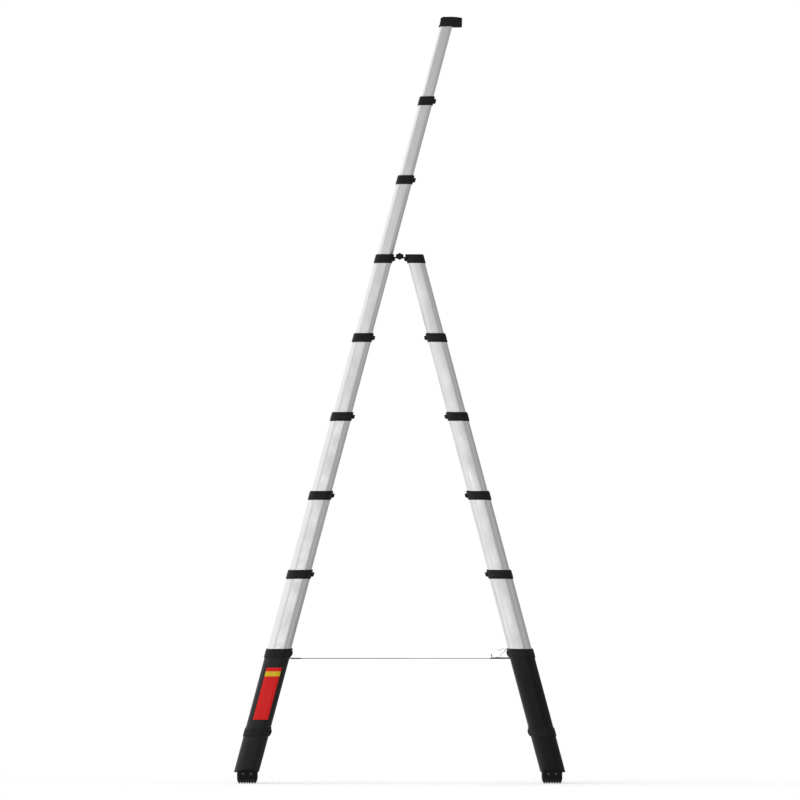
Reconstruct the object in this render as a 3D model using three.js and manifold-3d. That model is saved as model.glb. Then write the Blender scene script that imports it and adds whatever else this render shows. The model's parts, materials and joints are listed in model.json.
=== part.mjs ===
// A telescoping combination ladder, standing as an A-frame. Millimetres, +Z up.
// The front ladder leans towards +X and goes on above the hinge. The rear ladder mirrors it and ends there.
// The origin is on the floor, under the hinge's pivot. X is the front climber's way forward, and Y is along
// the rungs. Left is +Y on both ladders. Stage 1 is the base section, and each stage slides in the one
// below it.
import * as THREE from "three";
import { mergeVertices } from "three/addons/utils/BufferGeometryUtils.js";
import Module from "manifold-3d";

const wasm = await Module();
wasm.setup();

// ---- Driving dimensions ----
const LEAN = THREE.MathUtils.degToRad(15); // of each ladder, from the vertical
const RUNG_PITCH = 300; // along the rails
const FIRST_RUNG_Z = 187.5; // middle of the lowest rung
const FRONT_STAGES = 9;
const REAR_STAGES = 6;
const RAIL_SPACING = 407; // between the centre planes of the two rails
const GAP = 0.3; // between pieces that are fixed to each other
const PAST = 1; // how far a cutting solid runs past what it cuts
const SIDES_OF = { boss: 20, axle: 16, pin: 12 }; // flats round each kind of rod

// Tubes: rounded rectangles that nest, each a fixed step larger than the next
const TOP_TUBE = { depth: 42.4, width: 30, corner: 9 };
const TUBE_STEP = 2.9; // on each side, from one tube's outside to the next one's
const TUBE_WALL = 1.5;
const TUBE_OVERLAP = 97; // height of a tube that stays inside the one below
const BASE_TUBE_Z = 40.5; // lower end of the base tubes
const CORNER_STEPS = 2; // flats on each rounded corner

// Collars: black mouldings that join a rung to the two tubes under it
const COLLAR_HEIGHT = 32.4;
const BASE_RING_HEIGHT = 30;
const COLLAR_WALL = 3; // from the tube's outside to the collar's
const LIP_HEIGHT = 8; // the part that closes in on the tube above
const RUNNING_GAP = 0.45; // between the lip and the tube that slides in it

// Rungs
const RUNG = { depth: 44, height: 28, corner: 5, wall: 1.8 };
const RUNG_CORNER_STEPS = 2;

// Lugs on the inner side of each collar
const LUG = { reach: 7.4, width: 20, top: 6.2, bottom: -8.5 };
const EAR = { reach: 4, width: 26, top: 9, bottom: -15 };

// Hinge between the seventh rungs of the two ladders
const HINGE_RUNG = 6; // counted from 0 at the lowest
const PIVOT_RISE = 9; // above the middle of that rung
const PIVOT_OFFSET = 53.4; // from the rail's axis, square to the rail
const AXLE_RADIUS = 5;
const AXLE_STUB = 9; // length of the axle inside each knob
const HINGE_ARM = { bossRadius: 9, height: 3.6, thickness: 7.6, below: 4.1, boreReach: 20 };
const KNOB = { tip: 13.7, hollow: 9.7, lobes: 6, breadth: 0.45, thickness: 14, points: 60 };
const KNOB_OVAL = { long: 1.1, high: 0.88, sideHollow: 0.36 }; // wider than high, with flatter sides

// Release buttons, one at each end of the lowest locking rung
const BUTTON = { length: 34, height: 14, proud: 7, travel: 12, inset: 26 };
const BUTTON_STEM = { width: 16, height: 8, past: 4, root: 1 }; // past the rung's wall, and into the pad

// Feet
const FOOT = { length: 74.6, cheek: 4.2, shoulderZ: 46, archZ: 52.5, shoulders: 4 };
const FOOT_EDGE = { taper: 1, low: 7, high: 17.5 }; // the heights between which each end is tapered
const FOOT_PLAN = { length: 98.6, corner: 30 }; // the plan that rounds the foot's four upright edges
const FOOT_PLUG = { low: 38.5, high: 74, room: 10 }; // the part of the foot inside the tube
const SOLE = { length: 62, teeth: 7, land: 4.6, grooveDepth: 4 };

// End caps on the top rung, as a side outline about the rail's axis at the rung's middle
const CAP_OUTLINE = [
  [-32.3, -15.6], [-28, -17], [54, -17], [54, 14.6], [36, 17.4], [15, 18.9], [-16.5, 18.2],
  [-24.5, 13.5], [-25.8, 5.5], [-22.6, 3.6], [-28.4, -0.8], [-25.6, -4.6],
];

// Restraint strap, the hook plate at its rear end, and the pins under the second rungs that hold them
const STRAP = { width: 25, thickness: 1.6, z: 457.3, endGap: 1 };
const STRAP_PIN = { radius: 3.5, z: 456, earThickness: 4, earLength: 13, earGap: 2 };
const HOOK = { width: 28, thickness: 2.4, tip: 336, lipHeight: 14, eyeRadius: 5.5, above: 0.5 };

// ---- Values worked out from them ----
const SLOPE = Math.tan(LEAN);
const STRETCH = 1 / Math.cos(LEAN); // a rail's depth in a level cut, over its depth square to the rail
const RUNG_RISE = RUNG_PITCH * Math.cos(LEAN);
const HINGE_RUNG_Z = FIRST_RUNG_Z + HINGE_RUNG * RUNG_RISE;
const PIVOT_Z = HINGE_RUNG_Z + PIVOT_RISE;
const PIVOT_REACH = PIVOT_OFFSET * STRETCH;
const FOOT_X = PIVOT_REACH + PIVOT_Z * SLOPE; // from the origin to where a rail's axis meets the floor
const RAIL_Y = RAIL_SPACING / 2;
const rungZ = (level) => FIRST_RUNG_Z + level * RUNG_RISE;
const axisX = (z) => z * SLOPE; // the rail's axis in a ladder's own frame
const SIDES = { left: 1, right: -1 };

// ---- Materials ----
const finish = (color, roughness, metalness) =>
  new THREE.MeshStandardMaterial({ color, roughness, metalness });
const silverTube = () => finish(0xc9cacb, 0.35, 0.9);
const blackTube = () => finish(0x26272a, 0.45, 0.6);
const blackPlastic = () => finish(0x202124, 0.6, 0);
const greyPlastic = () => finish(0x4a4c50, 0.6, 0);
const rubber = () => finish(0x1a1a1b, 0.85, 0);
const steel = () => finish(0x8f9296, 0.3, 1);
const webbing = () => finish(0x8c8d8f, 0.9, 0);

// ---- Solids ----
function solidOf(geometry) {
  const plain = geometry.index ? geometry.toNonIndexed() : geometry.clone();
  plain.deleteAttribute("normal");
  plain.deleteAttribute("uv");
  const merged = mergeVertices(plain, 1e-4);
  const vertProperties = merged.getAttribute("position").array;
  const triVerts = new Uint32Array(merged.index.array);
  return new wasm.Manifold(new wasm.Mesh({ numProp: 3, vertProperties, triVerts }));
}

function geometryOf(solid) {
  const mesh = solid.getMesh();
  const geometry = new THREE.BufferGeometry();
  geometry.setAttribute("position", new THREE.BufferAttribute(mesh.vertProperties, 3));
  geometry.setIndex(new THREE.BufferAttribute(mesh.triVerts, 1));
  geometry.computeVertexNormals();
  return geometry;
}

const joined = (solids) => solids.reduce((whole, next) => whole.add(next));

// A rounded rectangle about the origin, as points: size along the first and the second axis, corner radius.
function roundedRectangle(length, width, corner, steps) {
  const points = [];
  for (const [sx, sy, start] of [[1, 1, 0], [-1, 1, 1], [-1, -1, 2], [1, -1, 3]]) {
    const centreX = sx * (length / 2 - corner);
    const centreY = sy * (width / 2 - corner);
    for (let i = 0; i <= steps; i++) {
      const angle = (start + i / steps) * Math.PI / 2;
      const x = centreX + corner * Math.cos(angle);
      points.push(new THREE.Vector2(x, centreY + corner * Math.sin(angle)));
    }
  }
  return points;
}

// An outline in the level plane, raised from z = low to high.
function upright(points, low, high) {
  const options = { depth: high - low, bevelEnabled: false };
  return new THREE.ExtrudeGeometry(new THREE.Shape(points), options).translate(0, 0, low);
}

// The same along a rail: its level cuts are stretched, and they move forward with height.
function alongRail(points, low, high) {
  const lean = new THREE.Matrix4().set(STRETCH, 0, SLOPE, 0, 0, 1, 0, 0, 0, 0, 1, 0, 0, 0, 0, 1);
  return upright(points, low, high).applyMatrix4(lean);
}

// A side outline, in x and z, carried along Y from low to high.
function across(points, low, high) {
  const options = { depth: high - low, bevelEnabled: false };
  const geometry = new THREE.ExtrudeGeometry(new THREE.Shape(points), options);
  return geometry.rotateX(Math.PI / 2).translate(0, high, 0);
}

const outline = (pairs) => pairs.map(([x, y]) => new THREE.Vector2(x, y));

function box(x, y, z, lengthX, lengthY, lengthZ) {
  return new THREE.BoxGeometry(lengthX, lengthY, lengthZ).translate(x, y, z);
}

function rod(radius, x, z, low, high, sides) {
  const geometry = new THREE.CylinderGeometry(radius, radius, high - low, sides);
  return geometry.translate(x, (low + high) / 2, z);
}

// ---- Tubes ----
// A tube's section, grown outwards by some amount on every side.
function tubeSection(stage, grow) {
  const steps = FRONT_STAGES - stage;
  const more = 2 * (steps * TUBE_STEP + grow);
  const corner = TOP_TUBE.corner + more / 2;
  return roundedRectangle(TOP_TUBE.depth + more, TOP_TUBE.width + more, corner, CORNER_STEPS);
}

const tubeHalfWidth = (stage) => TOP_TUBE.width / 2 + (FRONT_STAGES - stage) * TUBE_STEP;
const tubeHalfDepth = (stage) => TOP_TUBE.depth / 2 + (FRONT_STAGES - stage) * TUBE_STEP;
const tubeTopZ = (stage) => rungZ(stage) + COLLAR_HEIGHT / 2 - LIP_HEIGHT - GAP;
const tubeBottomZ = (stage) => (stage === 1 ? BASE_TUBE_Z : rungZ(stage - 1) - TUBE_OVERLAP);

function tube(stage) {
  const low = tubeBottomZ(stage);
  const high = tubeTopZ(stage);
  const outside = solidOf(alongRail(tubeSection(stage, 0), low, high));
  const inside = solidOf(alongRail(tubeSection(stage, -TUBE_WALL), low - PAST, high + PAST));
  return outside.subtract(inside);
}

// ---- Steps: a rung with the collar at each of its ends ----
function rungSection(level, inset) {
  const { depth, height, corner } = RUNG;
  const size = 2 * inset;
  return roundedRectangle(depth - size, height - size, corner - inset / 2, RUNG_CORNER_STEPS)
    .map((p) => p.add(new THREE.Vector2(axisX(rungZ(level)), rungZ(level))));
}

// The lug's outer face keeps to the rail's slope. Its height is given about the rung's middle.
function lug(level, face, size, sideY) {
  const reach = face + size.reach;
  const z = rungZ(level);
  const half = size.width / 2;
  const points = outline([[0, -half], [reach, -half], [reach, half], [0, half]]);
  return solidOf(alongRail(points, z + size.bottom, z + size.top).translate(0, sideY, 0));
}

function collar(level, stage, height) {
  const z = rungZ(level);
  return solidOf(alongRail(tubeSection(stage, COLLAR_WALL), z - height / 2, z + height / 2));
}

// The bore for the collar's own tube, and above it the narrower one for the tube that slides in it.
function bores(level, stage, ends) {
  const z = rungZ(level);
  const bottom = z - COLLAR_HEIGHT;
  const own = solidOf(alongRail(tubeSection(stage, GAP), bottom, ends.ownTop));
  if (!ends.sliding) return own;
  const next = alongRail(tubeSection(stage + 1, RUNNING_GAP), bottom, z + COLLAR_HEIGHT);
  return own.add(solidOf(next));
}

function step(level, stage, form) {
  const pieces = [solidOf(across(rungSection(level, 0), -RAIL_Y, RAIL_Y))];
  const cuts = [solidOf(across(rungSection(level, RUNG.wall), -RAIL_Y, RAIL_Y))];
  for (const side of Object.values(SIDES)) {
    const y = side * RAIL_Y;
    pieces.push(form.body(level, stage).translate(0, y, 0));
    if (form.lug) pieces.push(lug(level, tubeHalfDepth(stage) + COLLAR_WALL, form.lug, y));
    if (form.arm) pieces.push(hingeArm(side, form.arm));
    cuts.push(bores(level, stage, form.ends(level)).translate(0, y, 0));
    if (form.locking) cuts.push(buttonSlot(side));
    if (form.arm) cuts.push(hingeBore(side));
  }
  if (form.locking) pieces.push(strapBracket(level));
  return joined(pieces).subtract(joined(cuts));
}

const slidingEnds = (level) => ({ ownTop: rungZ(level) + COLLAR_HEIGHT / 2 - LIP_HEIGHT, sliding: true });
const closedEnds = (level) => ({ ownTop: rungZ(level) + COLLAR_HEIGHT / 2 - LIP_HEIGHT, sliding: false });
const ringEnds = (level) => ({ ownTop: rungZ(level) + COLLAR_HEIGHT, sliding: false });
const plainCollar = (level, stage) => collar(level, stage, COLLAR_HEIGHT);
const baseRing = (level, stage) => collar(level, stage, BASE_RING_HEIGHT);

function endCap(level, stage) {
  const z = rungZ(level);
  const points = outline(CAP_OUTLINE.map(([x, rise]) => [axisX(z) + x, z + rise]));
  const halfWidth = tubeHalfWidth(stage) + COLLAR_WALL;
  return solidOf(across(points, -halfWidth, halfWidth));
}

const FORMS = {
  base: { body: baseRing, lug: EAR, ends: ringEnds },
  lowest: { body: plainCollar, lug: EAR, ends: slidingEnds, locking: true },
  middle: { body: plainCollar, lug: LUG, ends: slidingEnds },
  frontHinge: { body: plainCollar, lug: LUG, ends: slidingEnds, arm: "front" },
  rearHinge: { body: plainCollar, lug: LUG, ends: closedEnds, arm: "rear" },
  cap: { body: endCap, ends: closedEnds },
};

// ---- Hinge, in a ladder's own frame ----
const PIVOT_X = FOOT_X;
// The nearer side of each arm, from the rail's centre plane
const ARM_LANES = { front: GAP, rear: -GAP - HINGE_ARM.thickness };

function armSpan(side, ladder) {
  const near = ARM_LANES[ladder];
  const ends = [side * (RAIL_Y + near), side * (RAIL_Y + near + HINGE_ARM.thickness)];
  return [Math.min(...ends), Math.max(...ends)];
}

function hingeArm(side, ladder) {
  const [low, high] = armSpan(side, ladder);
  const stage = HINGE_RUNG;
  const root = axisX(HINGE_RUNG_Z) + (tubeHalfDepth(stage) + COLLAR_WALL / 2) * STRETCH;
  const middle = PIVOT_Z - HINGE_ARM.below;
  const length = PIVOT_X - root;
  const bar = box(root + length / 2, (low + high) / 2, middle, length, high - low, HINGE_ARM.height);
  const boss = rod(HINGE_ARM.bossRadius, PIVOT_X, PIVOT_Z, low, high, SIDES_OF.boss);
  return solidOf(bar).add(solidOf(boss));
}

function hingeBore(side) {
  const low = side * RAIL_Y - HINGE_ARM.boreReach;
  const high = side * RAIL_Y + HINGE_ARM.boreReach;
  return solidOf(rod(AXLE_RADIUS + GAP, PIVOT_X, PIVOT_Z, low, high, SIDES_OF.axle));
}

const KNOB_INNER_Y = RAIL_Y + tubeHalfWidth(HINGE_RUNG) + COLLAR_WALL + GAP; // just outside the collars

function axle() {
  const reach = KNOB_INNER_Y + AXLE_STUB;
  return solidOf(rod(AXLE_RADIUS, 0, PIVOT_Z, -reach, reach, SIDES_OF.axle));
}

// An oval star: broad lobes with narrow hollows between them, which are shallow at the two sides.
function knob(side) {
  const { long, high, sideHollow } = KNOB_OVAL;
  const points = [];
  for (let i = 0; i < KNOB.points; i++) {
    const angle = (i / KNOB.points) * 2 * Math.PI;
    const swell = (0.5 - 0.5 * Math.cos(KNOB.lobes * angle)) ** KNOB.breadth;
    const depth = (KNOB.tip - KNOB.hollow) * (sideHollow + (1 - sideHollow) * Math.abs(Math.sin(angle)));
    const radius = KNOB.tip - depth * (1 - swell);
    const x = long * radius * Math.cos(angle);
    points.push(new THREE.Vector2(x, PIVOT_Z + high * radius * Math.sin(angle)));
  }
  const span = (near, far) => (side > 0 ? [near, far] : [-far, -near]);
  const star = solidOf(across(points, ...span(KNOB_INNER_Y, KNOB_INNER_Y + KNOB.thickness)));
  const boreSpan = span(RAIL_Y, KNOB_INNER_Y + AXLE_STUB + GAP);
  return star.subtract(solidOf(rod(AXLE_RADIUS + GAP, 0, PIVOT_Z, ...boreSpan, SIDES_OF.axle)));
}

// ---- Release buttons on the climber's face of the second rung ----
const BUTTON_LEVEL = 1;
const BUTTON_FACE_X = axisX(rungZ(BUTTON_LEVEL)) - RUNG.depth / 2;
const buttonY = (side) => side * (RAIL_Y - tubeHalfWidth(1) - COLLAR_WALL - BUTTON.inset);

function button(side) {
  const z = rungZ(BUTTON_LEVEL);
  const padX = BUTTON_FACE_X - GAP - BUTTON.proud / 2;
  const pad = box(padX, buttonY(side), z, BUTTON.proud, BUTTON.length, BUTTON.height);
  const { width, height, past, root } = BUTTON_STEM;
  const length = root + RUNG.wall + past;
  const stemX = BUTTON_FACE_X - GAP - root + length / 2;
  return solidOf(pad).add(solidOf(box(stemX, buttonY(side), z, length, width, height)));
}

// Long enough for the stem to slide towards the rung's middle.
function buttonSlot(side) {
  const length = BUTTON_STEM.width + BUTTON.travel + 2 * GAP;
  const y = buttonY(side) - side * BUTTON.travel / 2;
  const height = BUTTON_STEM.height + 2 * GAP;
  return solidOf(box(BUTTON_FACE_X, y, rungZ(BUTTON_LEVEL), 4 * RUNG.wall, length, height));
}

// ---- Feet ----
// The side outline: a toothed sole, rounded lower corners and an arched top.
function footOutline() {
  const centre = axisX(FOOT.archZ);
  const half = FOOT.length / 2;
  const points = [];
  const pitch = (SOLE.length - SOLE.land) / (SOLE.teeth - 1);
  for (let i = 0; i < SOLE.teeth; i++) {
    const start = centre - SOLE.length / 2 + i * pitch;
    points.push([start, 0], [start + SOLE.land, 0]);
    const middle = start + (SOLE.land + pitch) / 2;
    if (i < SOLE.teeth - 1) points.push([middle, SOLE.grooveDepth]);
  }
  const arch = (t) => FOOT.shoulderZ + (FOOT.archZ - FOOT.shoulderZ) * Math.sin(t * Math.PI);
  const { taper, low, high } = FOOT_EDGE;
  points.push([centre + half - taper, low], [centre + half, high]);
  for (let i = 0; i <= FOOT.shoulders; i++) {
    const t = i / FOOT.shoulders;
    points.push([centre + half * (1 - 2 * t), arch(t)]);
  }
  points.push([centre - half, high], [centre - half + taper, low]);
  return outline(points);
}

function foot() {
  const halfWidth = tubeHalfWidth(1) + FOOT.cheek;
  const plan = roundedRectangle(FOOT_PLAN.length, 2 * halfWidth, FOOT_PLAN.corner, CORNER_STEPS);
  const block = solidOf(upright(plan, -PAST, FOOT.archZ + PAST).translate(axisX(FOOT.archZ), 0, 0));
  const shaped = block.intersect(solidOf(across(footOutline(), -halfWidth - PAST, halfWidth + PAST)));
  const roomTop = FOOT_PLUG.high + FOOT_PLUG.room;
  const tubeRoom = solidOf(alongRail(tubeSection(1, GAP), BASE_TUBE_Z - GAP, roomTop));
  const plugSection = tubeSection(1, -TUBE_WALL - GAP);
  const plug = solidOf(alongRail(plugSection, FOOT_PLUG.low, FOOT_PLUG.high));
  return shaped.subtract(tubeRoom).add(plug);
}

// ---- Strap, held under both second rungs ----
const STRAP_PIN_X = FOOT_X - axisX(rungZ(BUTTON_LEVEL)); // from the origin, on both ladders
const STRAP_REACH = STRAP_PIN_X - HOOK.eyeRadius - STRAP.endGap; // from the origin to each of its ends

// Two ears under the rung, with the pin between them. In a ladder's own frame.
function strapBracket(level) {
  const x = axisX(rungZ(level));
  const top = rungZ(level) - RUNG.height / 2 + RUNG.wall / 2;
  const { earLength, earThickness } = STRAP_PIN;
  const bottom = STRAP_PIN.z - earLength / 2;
  const inner = HOOK.width / 2 + STRAP_PIN.earGap;
  const ears = [1, -1].map((side) => {
    const y = side * (inner + earThickness / 2);
    return solidOf(box(x, y, (top + bottom) / 2, earLength, earThickness, top - bottom));
  });
  const pinEnd = inner + PAST; // inside the ear
  const pin = solidOf(rod(STRAP_PIN.radius, x, STRAP_PIN.z, -pinEnd, pinEnd, SIDES_OF.pin));
  return joined([...ears, pin]);
}

function strap() {
  return solidOf(box(0, 0, STRAP.z, 2 * STRAP_REACH, STRAP.width, STRAP.thickness));
}

// A plate along the strap's rear end, with an eye on the pin and a lip at its tip.
function strapHook() {
  const { width, thickness, tip, lipHeight, eyeRadius } = HOOK;
  const low = STRAP.z + STRAP.thickness / 2 + HOOK.above;
  const points = outline([
    [tip, low], [STRAP_PIN_X, low], [STRAP_PIN_X, low + thickness],
    [tip + thickness, low + thickness], [tip + thickness, low + lipHeight], [tip, low + lipHeight],
  ]);
  const plate = solidOf(across(points, -width / 2, width / 2));
  const rodAt = (radius, end, sides) => solidOf(rod(radius, STRAP_PIN_X, STRAP_PIN.z, -end, end, sides));
  const eye = rodAt(eyeRadius, width / 2, SIDES_OF.axle);
  const bore = rodAt(STRAP_PIN.radius + GAP, width, SIDES_OF.pin);
  return plate.add(eye).subtract(bore);
}

// ---- Assembly ----
function piece(name, solid, material) {
  const mesh = new THREE.Mesh(geometryOf(solid), material);
  mesh.name = name;
  return mesh;
}

function ladder(name, stages, formOf) {
  const group = new THREE.Group();
  for (let stage = 1; stage <= stages; stage++) {
    for (const [sideName, side] of Object.entries(SIDES)) {
      const shape = tube(stage).translate(0, side * RAIL_Y, 0);
      const material = stage === 1 ? blackTube() : silverTube();
      group.add(piece(`${name}_tube_${sideName}_${stage}`, shape, material));
    }
  }
  for (let level = 0; level <= stages; level++) {
    const shape = step(level, Math.max(level, 1), FORMS[formOf(level)]);
    group.add(piece(`${name}_step_${level + 1}`, shape, blackPlastic()));
  }
  for (const [sideName, side] of Object.entries(SIDES)) {
    group.add(piece(`${name}_foot_${sideName}`, foot().translate(0, side * RAIL_Y, 0), rubber()));
    group.add(piece(`${name}_release_button_${sideName}`, button(side), greyPlastic()));
  }
  return group;
}

const lowerForms = ["base", "lowest"];
const frontForm = (level) => {
  if (level === FRONT_STAGES) return "cap";
  return level === HINGE_RUNG ? "frontHinge" : lowerForms[level] ?? "middle";
};
const rearForm = (level) => (level === HINGE_RUNG ? "rearHinge" : lowerForms[level] ?? "middle");

const frontLadder = ladder("front", FRONT_STAGES, frontForm);
frontLadder.position.x = -FOOT_X;

const rearLadder = ladder("rear", REAR_STAGES, rearForm);
rearLadder.position.x = FOOT_X;
rearLadder.scale.x = -1;

const fittings = new THREE.Group();
fittings.add(piece("hinge_axle", axle(), steel()));
for (const [sideName, side] of Object.entries(SIDES))
  fittings.add(piece(`hinge_knob_${sideName}`, knob(side), blackPlastic()));
fittings.add(piece("restraint_strap", strap(), webbing()));
fittings.add(piece("strap_hook", strapHook(), steel()));

const group = new THREE.Group();
group.add(frontLadder, rearLadder, fittings);

export default group;
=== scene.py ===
"""The looks of a telescoping combination ladder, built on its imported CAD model. Metres, +Z up.

The front ladder leans towards +X and the rear one mirrors it. A rail's own coordinates are u, level and away
from the climber, y along the rungs, and z up; at u = 0 a point lies on the rail's leaning axis.
"""
import json
import math

import bmesh
import bpy
from mathutils import Matrix, Vector


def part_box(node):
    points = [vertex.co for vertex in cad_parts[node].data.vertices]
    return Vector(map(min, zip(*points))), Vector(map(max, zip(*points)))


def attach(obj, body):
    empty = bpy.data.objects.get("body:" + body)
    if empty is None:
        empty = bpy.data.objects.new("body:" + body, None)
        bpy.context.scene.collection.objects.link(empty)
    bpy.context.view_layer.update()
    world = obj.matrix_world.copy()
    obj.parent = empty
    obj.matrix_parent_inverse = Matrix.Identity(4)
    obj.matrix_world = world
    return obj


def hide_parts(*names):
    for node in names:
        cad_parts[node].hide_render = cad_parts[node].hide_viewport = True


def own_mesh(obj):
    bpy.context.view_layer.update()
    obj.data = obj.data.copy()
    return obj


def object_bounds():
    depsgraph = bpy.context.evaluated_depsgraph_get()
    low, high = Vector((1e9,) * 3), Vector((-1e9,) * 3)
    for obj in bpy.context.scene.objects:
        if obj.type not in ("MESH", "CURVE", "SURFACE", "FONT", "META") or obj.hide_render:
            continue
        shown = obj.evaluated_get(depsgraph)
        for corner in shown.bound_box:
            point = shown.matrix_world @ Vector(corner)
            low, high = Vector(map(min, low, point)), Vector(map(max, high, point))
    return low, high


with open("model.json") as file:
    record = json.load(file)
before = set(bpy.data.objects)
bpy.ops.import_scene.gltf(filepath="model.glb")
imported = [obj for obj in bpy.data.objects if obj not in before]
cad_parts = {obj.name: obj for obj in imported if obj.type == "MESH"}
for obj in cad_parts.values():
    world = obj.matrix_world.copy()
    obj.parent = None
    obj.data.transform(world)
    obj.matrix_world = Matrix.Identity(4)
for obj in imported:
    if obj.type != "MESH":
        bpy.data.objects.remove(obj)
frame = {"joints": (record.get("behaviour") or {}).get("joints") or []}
cad_low, cad_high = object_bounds()

MM = 0.001
LEAN = math.radians(15)
SLOPE = math.tan(LEAN)
STRETCH = 1 / math.cos(LEAN)  # a rail's depth in a level cut, over its depth square to the rail
SIDES = {"left": 1, "right": -1}

# ---- Sizes that the CAD model's boxes don't give ----
TUBE_FACE = 12.2 * MM  # half the flat part of a tube's side face
TUBE_WALL = 1.5 * MM
COLLAR_WALL = 3 * MM
COLLAR_HALF = 16.2 * MM
BASE_RING_HALF = 15 * MM
LIP_HEIGHT = 8 * MM
LIP_REACH = 2.45 * MM  # how far a collar's lip closes in past its own tube
FIT = 0.3 * MM  # between fixed pieces
RUNG_HALF_DEPTH = 22 * MM
RUNG_HALF_HEIGHT = 14 * MM
RUNG_CORNER = 5 * MM
LUG_REACH = 7.4 * MM  # past the collar's inner face
HINGE_LEVEL = 6
BUTTON_LEVEL = 1


# ---- Outlines: lists of points in a plane, anticlockwise ----
def in_mm(pairs):
    """Pairs of millimetres, in metres."""
    return [(a * MM, b * MM) for a, b in pairs]


def arc(centre, radius, start, end, steps):
    """Points on a circle between two angles in degrees."""
    points = []
    for k in range(steps + 1):
        angle = math.radians(start + (end - start) * k / steps)
        points.append((centre[0] + radius * math.cos(angle), centre[1] + radius * math.sin(angle)))
    return points


def circle(radius, sides):
    return arc((0, 0), radius, 0, 360 - 360 / sides, sides - 1)


def rectangle(a_low, a_high, b_low, b_high):
    return [(a_low, b_low), (a_high, b_low), (a_high, b_high), (a_low, b_high)]


def rounded_rectangle(half_a, half_b, corner, steps=6):
    points = []
    for sign_a, sign_b, start in ((1, 1, 0), (-1, 1, 90), (-1, -1, 180), (1, -1, 270)):
        centre = (sign_a * (half_a - corner), sign_b * (half_b - corner))
        points += arc(centre, corner, start, start + 90, steps)
    return points


def filleted(points, radius, steps=4):
    """The outline with its corners rounded, by that radius where there is room."""
    made = []
    for i, point in enumerate(points):
        here = Vector(point)
        back = Vector(points[i - 1]) - here
        ahead = Vector(points[(i + 1) % len(points)]) - here
        reach = radius / math.tan(back.angle(ahead) / 2)
        reach = min(reach, 0.45 * back.length, 0.45 * ahead.length)
        start = here + back.normalized() * reach
        end = here + ahead.normalized() * reach
        for k in range(steps + 1):
            t = k / steps
            made.append(tuple(start * (1 - t) ** 2 + here * (2 * t * (1 - t)) + end * t ** 2))
    return made


def inset(points, distance):
    """The outline moved inwards by a distance."""
    made = []
    for i, point in enumerate(points):
        here = Vector(point)
        ahead = (Vector(points[(i + 1) % len(points)]) - here).normalized()
        behind = (here - Vector(points[i - 1])).normalized()
        inwards = Vector((-behind.y - ahead.y, behind.x + ahead.x))
        made.append(tuple(here + inwards * (distance / (1 + behind.dot(ahead)))))
    return made


def rounded_ends(low, high, radius, steps=3):
    """Stations from low to high, with the outline's inset at each, that round the two ends."""
    angles = [math.pi / 2 * k / steps for k in range(steps + 1)]
    first = [(low + radius * (1 - math.cos(a)), radius * (1 - math.sin(a))) for a in angles]
    return first + [(low + high - station, depth) for station, depth in reversed(first)]


# ---- Shapes and pieces ----
def as_placed(x, y, z):
    """For outlines that already have their place."""
    return Vector((x, y, z))


class Shape:
    """Points and faces that grow into one mesh."""

    def __init__(self):
        self.points = []
        self.faces = []

    def loft(self, rings, closed=False):
        """A skin through rings of equally many points. Closed joins the last ring to the first."""
        start, count = len(self.points), len(rings[0])
        for ring in rings:
            self.points.extend(ring)
        spans = len(rings) if closed else len(rings) - 1
        for i in range(spans):
            near = start + i * count
            far = start + (i + 1) % len(rings) * count
            for k in range(count):
                after = (k + 1) % count
                self.faces.append((near + k, near + after, far + after, far + k))
        if not closed:
            self.faces.append(tuple(range(start, start + count)))
            last = start + (len(rings) - 1) * count
            self.faces.append(tuple(range(last, last + count)))
        return self

    def turned(self, x, z, profile, sides=32, closed=False):
        """A body turned about a line along Y. The profile is a list of (radius, y)."""
        rings = [[Vector((x + a, y, z + b)) for a, b in circle(radius, sides)] for radius, y in profile]
        return self.loft(rings, closed)

    def across(self, place, outline, stations):
        """An outline in x and rise, carried along Y. Each station is (y, inset)."""
        return self.loft([[place(x, y, rise) for x, rise in inset(outline, depth)] for y, depth in stations])

    def stud(self, centre, axis, profile, sides=20):
        """A small round body. The profile is (radius, distance along the axis) in millimetres."""
        axis = Vector(axis).normalized()
        first = axis.orthogonal().normalized()
        second = axis.cross(first)
        rings = []
        for radius, along in in_mm(profile):
            middle = Vector(centre) + axis * along
            rings.append([middle + first * a + second * b for a, b in circle(radius, sides)])
        return self.loft(rings)

    def wire(self, points, radius, sides=8):
        """A round wire through points."""
        rings = []
        for i, point in enumerate(points):
            ahead, behind = points[min(i + 1, len(points) - 1)], points[max(i - 1, 0)]
            along = (ahead - behind).normalized()
            first = along.cross(Vector((0, 1, 0))).normalized()
            second = along.cross(first)
            rings.append([point + first * a + second * b for a, b in circle(radius, sides)])
        return self.loft(rings)


def add_object(name, data):
    made = bpy.data.objects.new(name, data)
    bpy.context.scene.collection.objects.link(made)
    return made


def add_mesh(name, shape):
    mesh = bpy.data.meshes.new(name)
    mesh.from_pydata([tuple(p) for p in shape.points], [], shape.faces)
    mesh.validate()
    work = bmesh.new()
    work.from_mesh(mesh)
    bmesh.ops.recalc_face_normals(work, faces=work.faces)
    work.to_mesh(mesh)
    work.free()
    return add_object(name, mesh)


def piece(name, shape, material, body, slot, stands_for=(), sharp=32):
    """A shown piece of the object, riding on a CAD body."""
    made = add_mesh(name, shape)
    made.data.shade_smooth()
    made.data.set_sharp_from_angle(angle=math.radians(sharp))
    made.data.materials.append(material)
    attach(made, body)
    if stands_for:
        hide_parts(*stands_for)
    return made


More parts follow.
